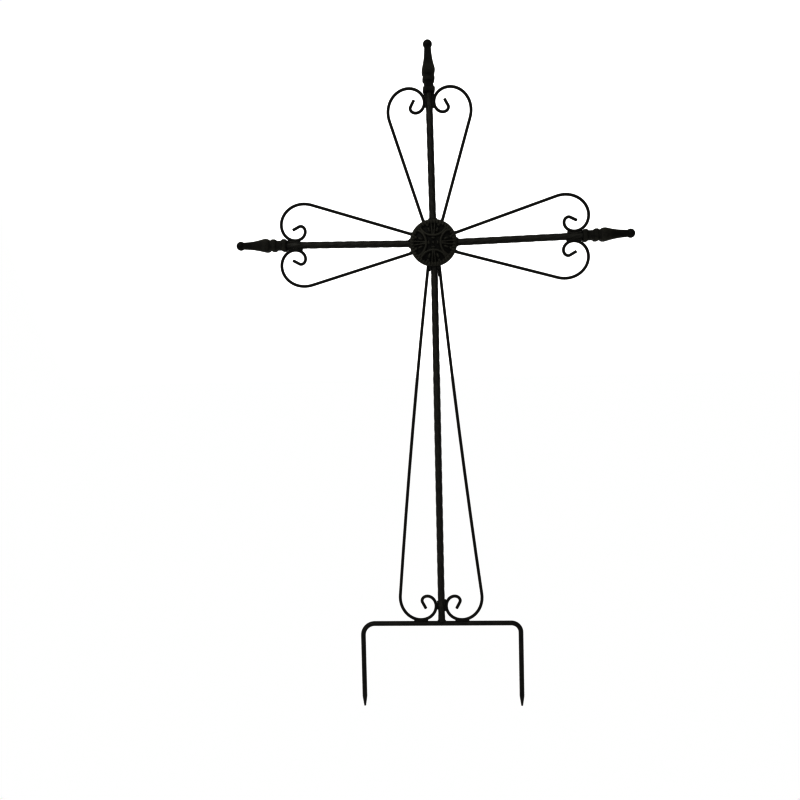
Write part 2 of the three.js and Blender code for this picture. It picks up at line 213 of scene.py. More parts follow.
class CrossSizes(bpy.types.PropertyGroup):
    """Sizes of the stock and of the castings"""

    height: FloatProperty(
        name="Height", description="Ground line to the centre of the medallion",
        default=0.775, unit="LENGTH")
    reach: FloatProperty(
        name="Reach", description="Centre of the medallion to the tip of a finial",
        default=0.3987, unit="LENGTH")
    post_aside: FloatProperty(
        name="Post aside", description="How far the post stands to the right of the medallion's middle",
        default=0.0006, unit="LENGTH")
    rod: FloatProperty(
        name="Rod", description="Thickness of the stake's rod",
        default=0.009, unit="LENGTH")
    tine_spacing: FloatProperty(
        name="Tine spacing", description="Between the middles of the tines",
        default=0.322, unit="LENGTH")
    tine_depth: FloatProperty(
        name="Tine depth", description="Ground line to the tips of the tines",
        default=0.1665, unit="LENGTH")
    left_bend: FloatProperty(
        name="Left bend", description="Radius of the stake's left corner",
        default=0.024, unit="LENGTH")
    right_bend: FloatProperty(
        name="Right bend", description="Radius of the stake's right corner",
        default=0.019, unit="LENGTH")
    point_length: FloatProperty(
        name="Point length", description="Tapered end of a tine",
        default=0.02, unit="LENGTH")
    point_width: FloatProperty(
        name="Point width", description="Blunt tip of a tine",
        default=0.003, unit="LENGTH")
    bar: FloatProperty(
        name="Bar", description="Width of a twisted bar across its flats",
        default=0.0126, unit="LENGTH")
    bar_corner: FloatProperty(
        name="Bar corner", description="Worn width of a bar's corner",
        default=0.0017, unit="LENGTH")
    twist: FloatProperty(
        name="Twist", description="Length of bar for one whole turn",
        default=0.147, unit="LENGTH")
    wire: FloatProperty(
        name="Wire", description="Thickness of the scroll wire",
        default=0.0055, unit="LENGTH")
    ball: FloatProperty(
        name="Ball", description="Radius of a finial's ball",
        default=0.0088, unit="LENGTH")
    finial_corner: FloatProperty(
        name="Finial corner", description="Rounding of a finial's foot",
        default=0.0012, unit="LENGTH")


class ScrollShape(bpy.types.PropertyGroup):
    """The spiral that every scroll ends in"""

    radius: FloatProperty(
        name="Radius", description="Radius where the wire runs parallel to its bar",
        default=0.0529, unit="LENGTH")
    shrink: FloatProperty(
        name="Shrink", description="Turn that divides the radius by e",
        default=math.radians(232), subtype="ANGLE")
    hook_from: FloatProperty(
        name="Hook from", description="Turn after which the spiral closes in faster",
        default=math.radians(200), subtype="ANGLE")
    hook_shrink: FloatProperty(
        name="Hook shrink", description="Turn that divides the hook's radius by e",
        default=math.radians(143), subtype="ANGLE")
    turn: FloatProperty(
        name="Turn", description="Turn from the parallel run to the tail",
        default=math.radians(388), subtype="ANGLE")
    tail: FloatProperty(
        name="Tail", description="Straight end of the wire",
        default=0.0147, unit="LENGTH")
    steps: IntProperty(
        name="Steps", description="Bends along the spiral",
        default=96, min=12)


class IronFinish(bpy.types.PropertyGroup):
    """Colours of the painted iron"""

    paint: FloatVectorProperty(
        name="Paint", description="Black paint", subtype="COLOR", size=3,
        default=(0.014, 0.0137, 0.0108), min=0, max=1)
    # Thinned paint, and painted highlight on what stands out: the lighter colour that the mask blends
    # towards
    thinned_and_sheen: FloatVectorProperty(
        name="Thinned paint and painted sheen", description="Paint that is thinned by rubbing, and painted sheen on what stands out", subtype="COLOR", size=3,
        default=(0.062, 0.0605, 0.049), min=0, max=1)
    dust: FloatVectorProperty(
        name="Dust", description="Dry dust that has settled in the paint", subtype="COLOR", size=3,
        default=(0.08, 0.078, 0.064), min=0, max=1)


class StudioStage(bpy.types.PropertyGroup):
    """Where the camera stands, and the floor"""

    distance: FloatProperty(
        name="Distance", description="Camera to the medallion, along the view",
        default=1.7, unit="LENGTH")
    yaw: FloatProperty(
        name="Yaw", description="Turn of the view to the left",
        default=math.radians(3.512), subtype="ANGLE")
    pitch: FloatProperty(
        name="Pitch", description="Tilt of the view upwards",
        default=math.radians(-2.768), subtype="ANGLE")
    roll: FloatProperty(
        name="Roll", description="Turn of the picture",
        default=math.radians(1.336), subtype="ANGLE")
    medallion_right: FloatProperty(
        name="Right", description="How far the medallion lies to the right of the view's middle",
        default=0.06694, unit="LENGTH")
    medallion_up: FloatProperty(
        name="Up", description="How far the medallion lies above the view's middle",
        default=0.31316, unit="LENGTH")
    lens: FloatProperty(
        name="Lens", description="Focal length in millimetres on a 36 mm sensor",
        default=38.25)
    floor: FloatVectorProperty(
        name="Floor", description="Plain pale floor", subtype="COLOR", size=3,
        default=(0.9, 0.9, 0.9), min=0, max=1)


def only(piece):
    """Selects one object and nothing else."""
    bpy.ops.object.select_all(action="DESELECT")
    piece.select_set(True)
    bpy.context.view_layer.objects.active = piece


def apply_place(piece):
    """Moves an object's place into its mesh."""
    only(piece)
    bpy.ops.object.transform_apply(location=True, rotation=True, scale=True)


def apply_modifier(piece, kind, **settings):
    """Adds a modifier with its settings and applies it."""
    only(piece)
    bpy.ops.object.modifier_add(type=kind)
    modifier = piece.modifiers[-1]
    for name, value in settings.items():
        setattr(modifier, name, value)
    bpy.ops.object.modifier_apply(modifier=modifier.name)


def edit(piece, kind="FACE"):
    """Opens a piece for modelling, with faces or edges to select."""
    only(piece)
    bpy.ops.object.mode_set(mode="EDIT")
    bpy.ops.mesh.select_mode(type=kind)


def edit_all(piece):
    """Opens a piece for modelling, with all of it selected."""
    edit(piece)
    bpy.ops.mesh.select_all(action="SELECT")


def edit_long_edges(piece, length):
    """Opens a piece for modelling, with the edges selected that run along X for a given length."""
    mesh = piece.data
    for item in (*mesh.polygons, *mesh.vertices):
        item.select = False
    for edge in mesh.edges:
        ends = [mesh.vertices[i].co for i in edge.vertices]
        edge.select = abs(abs(ends[0].x - ends[1].x) - length) < 0.01 * length
    edit(piece, "EDGE")


def close():
    """Ends the modelling of a piece."""
    bpy.ops.object.mode_set(mode="OBJECT")


def tidy_faces(piece):
    """Merges doubles and turns all faces outwards."""
    edit_all(piece)
    bpy.ops.mesh.remove_doubles(threshold=MERGE_DISTANCE)
    bpy.ops.mesh.normals_make_consistent(inside=False)
    close()


def join(pieces, name):
    """Joins objects into the first of them."""
    only(pieces[0])
    for piece in pieces:
        piece.select_set(True)
    bpy.ops.object.join()
    pieces[0].name = name
    return pieces[0]


def copy_of(piece, name):
    """A copy with a mesh of its own."""
    only(piece)
    bpy.ops.object.duplicate()
    copy = bpy.context.object
    copy.name = name
    return copy


def delete(piece):
    """Takes away an object that others were made from."""
    only(piece)
    bpy.ops.object.delete()


def mark_rubbing_and_sheen(piece, measure):
    """Stores on a piece how far each of its points stands out, for thinned paint and a painted highlight
    there.
    """
    mask = piece.data.attributes.new("paint_rub_and_sheen", "FLOAT", "POINT")
    mask.data.foreach_set("value", [min(max(measure(point.co), 0), 1) for point in piece.data.vertices])


def set_on_arm(piece, degrees, aside=0.0):
    """Places a piece that was modelled along +X on the arm that leaves the medallion at an angle."""
    sizes = bpy.context.scene.cross_sizes
    piece.rotation_euler = (0, -math.radians(degrees), 0)
    piece.location = (aside, 0, sizes.height)
    apply_place(piece)


def finish_piece(piece, node, material):
    """Shades a piece and lets it stand for its solid, where it has one."""
    only(piece)
    bpy.ops.object.shade_smooth_by_angle(angle=SMOOTH_ANGLE)
    piece.data.materials.clear()
    piece.data.materials.append(material)
    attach(piece, "root")
    if node:
        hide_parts(node)


def disc(name, sides, radius, place, turn=(0, 0, 0)):
    """A filled circle to extrude from."""
    bpy.ops.object.select_all(action="DESELECT")
    bpy.ops.mesh.primitive_circle_add(
        vertices=sides, radius=radius, fill_type="NGON", location=place, rotation=turn)
    piece = bpy.context.object
    piece.name = name
    apply_place(piece)
    return piece


def boss(place, size, degrees=0.0):
    """A rounded lump to join to others, turned about its middle as seen from the front."""
    bpy.ops.object.select_all(action="DESELECT")
    bpy.ops.mesh.primitive_uv_sphere_add(segments=20, ring_count=12, radius=0.5, location=place)
    piece = bpy.context.object
    piece.scale = size
    piece.rotation_euler = (0, math.radians(degrees), 0)
    apply_place(piece)
    return piece


def extrude(step):
    """Draws the selected faces out by a step."""
    bpy.ops.mesh.extrude_region_move(TRANSFORM_OT_translate={"value": step})


def wire_turn(place, heading, radius, turn):
    """Bends the open end of a wire in the XZ plane and returns where it then is and how it heads."""
    side = 1 if turn > 0 else -1
    normal = Vector((-math.sin(heading), 0, math.cos(heading))) * side
    centre = place + normal * radius
    bpy.ops.mesh.spin(steps=1, angle=turn, center=centre, axis=(0, 1, 0))
    heading += turn
    normal = Vector((-math.sin(heading), 0, math.cos(heading))) * side
    return centre - normal * radius, heading


def spiral_radius(turn):
    """Radius of the scroll after a turn, counted from where the wire runs parallel to its bar."""
    shape = bpy.context.scene.scroll_shape
    wide = min(turn, shape.hook_from) / shape.shrink
    tight = max(turn - shape.hook_from, 0) / shape.hook_shrink
    return shape.radius * math.exp(-wide - tight)


def scroll(name, leg):
    """A scroll on the +Z side of a bar that runs along +X."""
    shape = bpy.context.scene.scroll_shape
    wire = bpy.context.scene.cross_sizes.wire
    heading = math.radians(leg["angle"] - leg["bow"] / 2)
    place = Vector((leg["out"] * MM, 0, leg["aside"] * MM))
    piece = disc(name, WIRE_SIDES, wire / 2, place, (0, QUARTER - heading, 0))
    edit_all(piece)
    length = leg["length"] * MM
    bow = math.radians(leg["bow"])
    if bow:
        for _ in range(LEG_STEPS):
            place, heading = wire_turn(place, heading, length / abs(bow), bow / LEG_STEPS)
    else:
        step = Vector((math.cos(heading), 0, math.sin(heading))) * length
        extrude(step)
        place += step
    entry = -heading
    step_turn = (shape.turn - entry) / shape.steps
    for i in range(shape.steps):
        middle = entry + (i + 0.5) * step_turn
        place, heading = wire_turn(place, heading, spiral_radius(middle), -step_turn)
    extrude(Vector((math.cos(heading), 0, math.sin(heading))) * shape.tail)
    bpy.ops.mesh.bevel(offset=WIRE_END, segments=2, affect="EDGES")
    close()
    tidy_faces(piece)
    return piece


def twisted_bar(name, start, end, corner_at):
    """A six-sided bar along +X with corners rounded by use, twisted to the left."""
    sizes = bpy.context.scene.cross_sizes
    length = end - start
    flat = sizes.bar / 2
    corner = math.pi / BAR_SIDES
    bpy.ops.object.select_all(action="DESELECT")
    bpy.ops.mesh.primitive_cylinder_add(
        vertices=BAR_SIDES, radius=flat / math.cos(corner), depth=length,
        location=((start + end) / 2, 0, 0), rotation=(0, QUARTER, 0))
    piece = bpy.context.object
    piece.name = name
    apply_place(piece)
    edit_long_edges(piece, length)
    bpy.ops.mesh.bevel(offset=sizes.bar_corner, segments=4, affect="EDGES")
    close()
    cuts = math.ceil(length / RING_SPACING)
    edit_long_edges(piece, length)
    bpy.ops.mesh.subdivide(number_cuts=min(cuts, MOST_CUTS))
    close()
    if cuts > MOST_CUTS:
        edit_long_edges(piece, length / (MOST_CUTS + 1))
        bpy.ops.mesh.subdivide(number_cuts=1)
        close()
    piece.rotation_euler = (corner + WHOLE_TURN * corner_at * MM / sizes.twist, 0, 0)
    apply_place(piece)
    turn = -WHOLE_TURN * length / sizes.twist
    apply_modifier(piece, "SIMPLE_DEFORM", deform_method="TWIST", deform_axis="X", angle=turn)
    # Thinned paint and painted highlight on the corners that stand over the flats
    mark_rubbing_and_sheen(piece, lambda point: (math.hypot(point.y, point.z) - flat) / CORNER_STANDS)
    return piece


class CROSS_OT_stake(bpy.types.Operator):
    """Bends a round rod into the stake's crossbar and its two pointed tines"""

    bl_idname = "iron_cross.stake"
    bl_label = "Ground stake"

    def execute(self, context):
        sizes = context.scene.cross_sizes
        edge = sizes.tine_spacing / 2
        place = Vector((-edge, 0, -sizes.tine_depth))
        piece = disc("stake", ROD_SIDES, sizes.point_width / 2, place)
        edit_all(piece)
        widen = sizes.rod / sizes.point_width
        extrude((0, 0, sizes.point_length))
        place.z += sizes.point_length
        bpy.ops.transform.resize(value=(widen, widen, 1), center_override=place)
        bend_height = sizes.rod / 2 - sizes.left_bend
        extrude((0, 0, bend_height - place.z))
        place.z = bend_height
        heading = QUARTER
        for _ in range(BEND_STEPS):
            place, heading = wire_turn(place, heading, sizes.left_bend, -QUARTER / BEND_STEPS)
        extrude((edge - sizes.right_bend - place.x, 0, 0))
        place.x = edge - sizes.right_bend
        for _ in range(BEND_STEPS):
            place, heading = wire_turn(place, heading, sizes.right_bend, -QUARTER / BEND_STEPS)
        point = sizes.point_length - sizes.tine_depth
        extrude((0, 0, point - place.z))
        extrude((0, 0, -sizes.point_length))
        tip = Vector((edge, 0, -sizes.tine_depth))
        bpy.ops.transform.resize(value=(1 / widen, 1 / widen, 1), center_override=tip)
        close()
        tidy_faces(piece)
        finish_piece(piece, "ground_stake", wrought_iron())
        return {"FINISHED"}


class CROSS_OT_bars(bpy.types.Operator):
    """Twists the post and the three arms from six-sided bar"""

    bl_idname = "iron_cross.bars"
    bl_label = "Twisted bars"

    def execute(self, context):
        sizes = context.scene.cross_sizes
        for name, arm in ARMS.items():
            end = FINIAL_PROFILE[0][0] + arm["longer"]
            bar = twisted_bar(f"{name}_bar", arm["start"] * MM, end * MM, arm["corner_at"])
            set_on_arm(bar, arm["angle"])
            finish_piece(bar, f"{name}_arm", wrought_iron())
        foot = sizes.height - sizes.rod + POST_SUNK
        bar = twisted_bar("post_bar", POST_START * MM, foot, POST_CORNER_AT)
        set_on_arm(bar, POST_ANGLE, sizes.post_aside)
        finish_piece(bar, "post", wrought_iron())
        return {"FINISHED"}


class CROSS_OT_scrolls(bpy.types.Operator):
    """Bends the scrolls from round wire"""

    bl_idname = "iron_cross.scrolls"
    bl_label = "Scrolls"

    def execute(self, context):
        sizes = context.scene.cross_sizes
        pattern = scroll("short_scroll", SHORT_LEG)
        for name, arm in ARMS.items():
            for side_name, (side, longer, _) in arm["scrolls"].items():
                piece = self.short_scroll(pattern, f"{name}_wire_{side_name}", longer)
                self.place(piece, side, arm["angle"], 0.0, f"{name}_scroll_{side_name}")
        delete(pattern)
        for side_name, leg in LOWER_LEGS.items():
            piece = scroll(f"lower_wire_{side_name}", leg)
            self.place(piece, leg["side"], POST_ANGLE, sizes.post_aside, f"lower_scroll_{side_name}")
        return {"FINISHED"}

    def short_scroll(self, pattern, name, longer):
        """A copy of the pattern, or a scroll of its own where the leg has another length."""
        if longer == 0:
            return copy_of(pattern, name)
        return scroll(name, {**SHORT_LEG, "length": SHORT_LEG["length"] + longer})

    def place(self, piece, side, angle, aside, node):
        """Turns a scroll to its side of a bar and sets it on that bar's arm."""
        piece.scale = (1, 1, side)
        apply_place(piece)
        tidy_faces(piece)
        set_on_arm(piece, angle, aside)
        finish_piece(piece, node, scroll_wire())


class CROSS_OT_finials(bpy.types.Operator):
    """Models the square finial with its collars and ball, and copies it to the three arms"""

    bl_idname = "iron_cross.finials"
    bl_label = "Finials"

    def execute(self, context):
        sizes = context.scene.cross_sizes
        body = self.body(sizes)
        self.add_ball(body, sizes)
        # Thinned paint and painted highlight on the collars and the edges of the body
        mark_rubbing_and_sheen(body, self.prominence)
        for name, arm in ARMS.items():
            piece = copy_of(body, f"{name}_finial_casting")
            piece.location.x = arm["longer"] * MM
            piece.rotation_euler.x = math.radians(arm["finial_turn"])
            apply_place(piece)
            set_on_arm(piece, arm["angle"])
            finish_piece(piece, f"{name}_finial", cast_iron())
        delete(body)
        return {"FINISHED"}

    def body(self, sizes):
        """The square casting from its foot to its neck, along +X."""
        start, half = (value * MM for value in FINIAL_PROFILE[0])
        bpy.ops.object.select_all(action="DESELECT")
        bpy.ops.mesh.primitive_plane_add(size=2 * half, location=(start, 0, 0), rotation=(0, QUARTER, 0))
        body = bpy.context.object
        apply_place(body)
        edit_all(body)
        bpy.ops.mesh.bevel(offset=sizes.finial_corner, segments=3, affect="VERTICES")
        bpy.ops.mesh.select_all(action="SELECT")
        for along, next_half in FINIAL_PROFILE[1:]:
            extrude((along * MM - start, 0, 0))
            grow = next_half * MM / half
            bpy.ops.transform.resize(value=(1, grow, grow), center_override=(along * MM, 0, 0))
            start, half = along * MM, next_half * MM
        close()
        tidy_faces(body)
        apply_modifier(body, "SUBSURF", levels=2, render_levels=2)
        return body

    def add_ball(self, body, sizes):
        """Joins the ball to the neck as one casting."""
        bpy.ops.object.select_all(action="DESELECT")
        bpy.ops.mesh.primitive_uv_sphere_add(
            segments=48, ring_count=24, radius=sizes.ball, location=(sizes.reach - sizes.ball, 0, 0))
        ball = bpy.context.object
        apply_place(ball)
        apply_modifier(body, "BOOLEAN", operation="UNION", solver="EXACT", object=ball)
        tidy_faces(body)
        delete(ball)

    def prominence(self, point):
        """How much thinned paint and painted highlight a point of the finial takes: its collars and the
        edges of its square body most.
        """
        across = max(abs(point.y), abs(point.z), MM) / MM
        corner = min(abs(point.y), abs(point.z)) / MM
        return COLLAR_RUB_AND_SHEEN * (across - FINIAL_WAIST) + CORNER_RUB_AND_SHEEN * (corner / across) ** 3


def face_height(radius):
    """How far the medallion's domed relief stands out in front of the bars' middle."""
    return FIELD_EDGE + FIELD_DOME * (1 - (radius / FIELD_RADIUS) ** 2)


def on_face(radius, degrees, lift=0.0):
    """A point of the medallion's face, by radius and by angle from its quarter's middle."""
    angle = math.radians(degrees)
    return Vector((radius * math.sin(angle), -face_height(radius) - lift, radius * math.cos(angle)))


class CROSS_OT_medallion(bpy.types.Operator):
    """Casts the round medallion with its arcs, ribs, drops and beaded rim"""

    bl_idname = "iron_cross.medallion"
    bl_label = "Medallion"

    def execute(self, context):
        sizes = context.scene.cross_sizes
        parts = [self.blank()]
        for quarter in range(4):
            for relief in self.quarter():
                relief.rotation_euler = (0, quarter * QUARTER, 0)
                apply_place(relief)
                parts.append(relief)
        parts.append(boss((0, -face_height(0), 0), CENTRE_SIZE))
        for i in range(BEADS):
            degrees = (i + 0.5) * 360 / BEADS
            place = on_face(BEAD_AT, degrees)
            place.y = -BEAD_FRONT
            parts.append(boss(place, BEAD_SIZE, degrees))
        piece = join(parts, "medallion_casting")
        apply_modifier(piece, "REMESH", mode="VOXEL", voxel_size=CASTING_GRAIN)
        apply_modifier(piece, "SMOOTH", factor=0.5, iterations=2)
        # Thinned paint and painted highlight on the relief, so the sunk field reads darker as painted shade
        mark_rubbing_and_sheen(piece, self.prominence)
        piece.location = (0, 0, sizes.height)
        apply_place(piece)
        finish_piece(piece, "medallion", cast_iron())
        return {"FINISHED"}

    def blank(self):
        """The round plate, from its plain back to its domed face."""
        radius, front = (value * MM for value in MEDALLION_RIM[0])
        piece = disc("plate", PLATE_SIDES, radius, (0, -front, 0), (QUARTER, 0, 0))
        edit_all(piece)
        steps = [(r * MM, f * MM) for r, f in MEDALLION_RIM[1:]]
        steps += [(r, face_height(r) - FIELD_SUNK) for r in FIELD_RADII]
        for next_radius, next_front in steps:
            extrude((0, front - next_front, 0))
            grow = next_radius / radius
            bpy.ops.transform.resize(value=(grow, 1, grow), center_override=(0, -next_front, 0))
            radius, front = next_radius, next_front
        close()
        tidy_faces(piece)
        return piece

    def quarter(self):
        """The relief of the upper quarter."""
        reliefs = [self.arc(*ARC_FOOT), self.arc(*ARC_CREST)]
        for degrees in RIBS:
            reliefs.append(self.ridge(degrees, RIB_WIDTH + RIB_FOOT_WIDER, RIB_LIFT - RIB_FOOT_LOWER))
            reliefs.append(self.ridge(degrees, RIB_WIDTH, RIB_LIFT))
        for degrees in DROPS:
            reliefs.append(boss(on_face(DROP_AT, degrees), DROP_SIZE, degrees))
            reliefs.append(boss(on_face(KNOB_AT, degrees), KNOB_SIZE))
        reliefs.append(boss(on_face(PETAL_AT, 0), PETAL_SIZE))
        return reliefs

    def arc(self, width, lift):
        """A round ridge that bows about the quarter's ribs and follows the dome."""
        heading = -ARC_SPREAD
        rise = ARC_RADIUS * (1 - math.cos(ARC_SPREAD))
        place = Vector((-ARC_RADIUS * math.sin(ARC_SPREAD), 0, ARC_APEX + rise))
        front = face_height(place.length) + lift
        start = place - Vector((0, front, 0))
        piece = disc("arc", RIDGE_SIDES, width / 2, start, (0, QUARTER - heading, 0))
        edit_all(piece)
        for _ in range(ARC_STEPS):
            place, heading = wire_turn(place, heading, ARC_RADIUS, 2 * ARC_SPREAD / ARC_STEPS)
            next_front = face_height(place.length) + lift
            bpy.ops.transform.translate(value=(0, front - next_front, 0))
            front = next_front
        close()
        tidy_faces(piece)
        return piece

    def ridge(self, degrees, width, lift):
        """A round ridge out along the face, which follows the dome."""
        points = [on_face(radius, degrees, lift) for radius in RIB_RADII]
        first = points[1] - points[0]
        turn = first.to_track_quat("Z", "Y").to_euler()
        piece = disc("ridge", RIDGE_SIDES, width / 2, points[0], turn)
        edit_all(piece)
        for before, after in zip(points, points[1:]):
            extrude(after - before)
        close()
        tidy_faces(piece)
        return piece

    def prominence(self, point):
        """How far a point of the medallion stands out of its sunken field."""
        radius = math.hypot(point.x, point.z)
        return (-point.y - face_height(radius) + FIELD_SUNK) / RELIEF_STANDS


class CROSS_OT_welds(bpy.types.Operator):
    """Runs weld beads where the pieces meet"""

    bl_idname = "iron_cross.welds"
    bl_label = "Welds"

    def execute(self, context):
        sizes = context.scene.cross_sizes
        beads = []
        for arm in ARMS.values():
            for bead in self.arm_beads(arm):
                set_on_arm(bead, arm["angle"])
                beads.append(bead)
        for bead in self.post_beads():
            set_on_arm(bead, POST_ANGLE, sizes.post_aside)
            beads.append(bead)
        piece = join(beads, "weld_beads")
        apply_modifier(piece, "REMESH", mode="VOXEL", voxel_size=WELD_GRAIN)
        apply_modifier(piece, "SMOOTH", factor=0.5, iterations=4)
        # Lighter speckles on the welds: bare weld metal and painted glints
        mark_rubbing_and_sheen(piece, lambda point: WELD_BARE_METAL_AND_GLINTS)
        finish_piece(piece, None, wrought_iron())
        return {"FINISHED"}

    def bead(self, lump, side=1, further=0):
        """A lump of weld on one side of a bar, further along the bar than its row says."""
        along, aside, size, turn, front = lump
        place = ((along + further) * MM, -front * MM, side * aside * MM)
        return boss(place, [value * MM for value in size], side * turn)

    def lumps(self, before, after):
        """Steps along a seam, each with its swelling: a row of ripples that fades at its ends."""
        count = round((before + after) / LUMP_STEP)
        for i in range(count + 1):
            fade = 1 - SEAM_FADE * (2 * i / count - 1) ** 2
            ripple = 1 + RIPPLE * math.sin(RIPPLE_TURN * i)
            yield (before + after) * i / count - before, fade * ripple

    def bar_seam(self, touch, side, before, after):
        """Fills the wedges before and after the spot where a scroll touches its bar."""
        length, depth, width = BAR_SEAM_SIZE
        for along, swell in self.lumps(before, after):
            gap = along ** 2 / (2 * BAR_SEAM_BEND)
            size = (length, depth * swell, width + gap)
            yield self.bead((touch + along, BAR_SEAM_ASIDE + gap / 2, size, 0, 0), side)

    def crossbar_seam(self, side):
        """Fills the wedges on both sides of the spot where a lower scroll touches the crossbar."""
        length, depth, width = CROSSBAR_SEAM_SIZE
        for along, swell in self.lumps(CROSSBAR_SEAM_REACH, CROSSBAR_SEAM_REACH):
            gap = along ** 2 / (2 * CROSSBAR_SEAM_BEND)
            size = (length + gap, depth * swell, width)
            yield self.bead((CROSSBAR_SEAM_AT - gap / 2, CROSSBAR_SEAM_ASIDE + along, size, 0, 0), side)

    def arm_beads(self, arm):
        """Welds of one arm: at the medallion's back, at the legs, at its scrolls and at its finial."""
        for side, longer, back in arm["scrolls"].values():
            for lump in ARM_LUMPS:
                yield self.bead(lump, side)
            yield from self.bar_seam(SHORT_TOUCH + longer, side, back, BAR_SEAM_AFTER)
            yield self.bead(FINIAL_LUMP, side, arm["longer"])

    def post_beads(self):
        """Welds of the post: at the crossing, at the lower scrolls, at its foot and at the lower legs."""
        for leg in LOWER_LEGS.values():
            side = leg["side"]
            for lump in POST_LUMPS:
                yield self.bead(lump, side)
            yield from self.bar_seam(LOWER_TOUCH, side, leg["weld"], leg["weld"])
            yield from self.crossbar_seam(side)
            yield self.bead(FOOT_LUMP, side)
        for lump in SINGLE_LUMPS:
            yield self.bead(lump)


def feed(tree, value, socket):
    """Gives a socket its value: a link from another socket, or a plain number or colour."""
    if isinstance(value, bpy.types.NodeSocket):
        tree.links.new(value, socket)
    else:
        socket.default_value = value


def calculate(tree, operation, first, second):
    """Combines two values, each a socket or a number."""
    node = tree.nodes.new("ShaderNodeMath")
    node.operation = operation
    feed(tree, first, node.inputs[0])
    feed(tree, second, node.inputs[1])
    return node.outputs["Value"]


def noise(tree, vector, scale, detail, roughness):
    """A noise texture, with its scale per metre."""
    node = tree.nodes.new("ShaderNodeTexNoise")
    feed(tree, scale, node.inputs["Scale"])
    node.inputs["Detail"].default_value = detail
    node.inputs["Roughness"].default_value = roughness
    tree.links.new(vector, node.inputs["Vector"])
    return node.outputs["Fac"]


def spread(tree, value, source, target):
    """Maps one range of values to another, clamped."""
    node = tree.nodes.new("ShaderNodeMapRange")
    for name, limit in zip(("From Min", "From Max", "To Min", "To Max"), (*source, *target)):
        node.inputs[name].default_value = limit
    tree.links.new(value, node.inputs["Value"])
    return node.outputs["Result"]


def mix_colour(tree, factor, first, second):
    """Mixes two colours, each a socket or a plain colour."""
    node = tree.nodes.new("ShaderNodeMix")
    node.data_type = "RGBA"
    tree.links.new(factor, node.inputs["Factor"])
    for name, colour in (("A", first), ("B", second)):
        socket = next(s for s in node.inputs if s.name == name and s.type == "RGBA")
        feed(tree, colour, socket)
    return next(s for s in node.outputs if s.type == "RGBA")


def black_paint_and_sheen_group():
    """Black paint that is lighter where it stands out, as thinned paint and painted highlight, and holds
    dust: colour, roughness and height.
    """
    name = "Black iron paint and sheen"
    if name in bpy.data.node_groups:
        return bpy.data.node_groups[name]
    finish = bpy.context.scene.iron_finish
    tree = bpy.data.node_groups.new(name, "ShaderNodeTree")
    for socket in ("Rub and sheen strength", "Blotch scale", "Grain scale"):
        tree.interface.new_socket(socket, in_out="INPUT", socket_type="NodeSocketFloat")
    tree.interface.new_socket("Colour", in_out="OUTPUT", socket_type="NodeSocketColor")
    tree.interface.new_socket("Roughness", in_out="OUTPUT", socket_type="NodeSocketFloat")
    tree.interface.new_socket("Height", in_out="OUTPUT", socket_type="NodeSocketFloat")
    inputs = tree.nodes.new("NodeGroupInput").outputs
    outputs = tree.nodes.new("NodeGroupOutput").inputs
    place = tree.nodes.new("ShaderNodeTexCoord").outputs["Object"]
    blotch = noise(tree, place, inputs["Blotch scale"], detail=5, roughness=0.62)
    grain = noise(tree, place, inputs["Grain scale"], detail=3, roughness=0.6)
    dust = noise(tree, place, 26, detail=4, roughness=0.6)
    mask = tree.nodes.new("ShaderNodeAttribute")
    mask.attribute_name = "paint_rub_and_sheen"
    # Lighter where the piece stands out: thinned paint and painted highlight, so hollows stay darker
    raised_rub_and_sheen = calculate(tree, "MULTIPLY", mask.outputs["Fac"], inputs["Rub and sheen strength"])
    by_chance = spread(tree, blotch, (0.35, 0.75), (-0.15, 0.45))
    rub_and_sheen = spread(tree, calculate(tree, "ADD", raised_rub_and_sheen, by_chance), (0, 1), (0, 1))
    painted = mix_colour(tree, rub_and_sheen, (*finish.paint, 1), (*finish.thinned_and_sheen, 1))
    dusty = spread(tree, dust, (0.52, 0.75), (0, 0.3))
    tree.links.new(mix_colour(tree, dusty, painted, (*finish.dust, 1)), outputs["Colour"])
    tree.links.new(spread(tree, blotch, (0.3, 0.75), (0.42, 0.66)), outputs["Roughness"])
    fine = calculate(tree, "MULTIPLY", grain, 0.4)
    tree.links.new(calculate(tree, "ADD", fine, blotch), outputs["Height"])
    return tree


def painted_iron(name, rub_and_sheen, blotch_scale, grain_scale, bump, gloss):
    """A material of black painted iron, made once."""
    if name in bpy.data.materials:
        return bpy.data.materials[name]
    material = bpy.data.materials.new(name)
    material.use_nodes = True
    tree = material.node_tree
    shader = tree.nodes["Principled BSDF"]
    paint = tree.nodes.new("ShaderNodeGroup")
    paint.node_tree = black_paint_and_sheen_group()
    paint.inputs["Rub and sheen strength"].default_value = rub_and_sheen
    paint.inputs["Blotch scale"].default_value = blotch_scale
    paint.inputs["Grain scale"].default_value = grain_scale
    tree.links.new(paint.outputs["Colour"], shader.inputs["Base Color"])
    tree.links.new(paint.outputs["Roughness"], shader.inputs["Roughness"])
    relief = tree.nodes.new("ShaderNodeBump")
    relief.inputs["Strength"].default_value = 0.6
    relief.inputs["Distance"].default_value = bump
    tree.links.new(paint.outputs["Height"], relief.inputs["Height"])
    tree.links.new(relief.outputs["Normal"], shader.inputs["Normal"])
    shader.inputs["Metallic"].default_value = 0
    shader.inputs["Specular IOR Level"].default_value = gloss
    return material


def wrought_iron():
    """Bars, rod and welds: lighter on their corners, as thinned paint and painted highlight."""
    return painted_iron(
        "Black wrought iron", rub_and_sheen=0.6, blotch_scale=110, grain_scale=1100, bump=0.0006, gloss=0.45)


def scroll_wire():
    """Smooth wire: duller than the bars, and thinned only by chance."""
    return painted_iron(
        "Black scroll wire", rub_and_sheen=0, blotch_scale=140, grain_scale=1300, bump=0.0004, gloss=0.3)


def cast_iron():
    """Castings: coarser in grain, and lighter on all that stands out, as thinned paint and painted
    highlight.
    """
    return painted_iron(
        "Black cast iron", rub_and_sheen=1.0, blotch_scale=150, grain_scale=700, bump=0.0006, gloss=0.25)


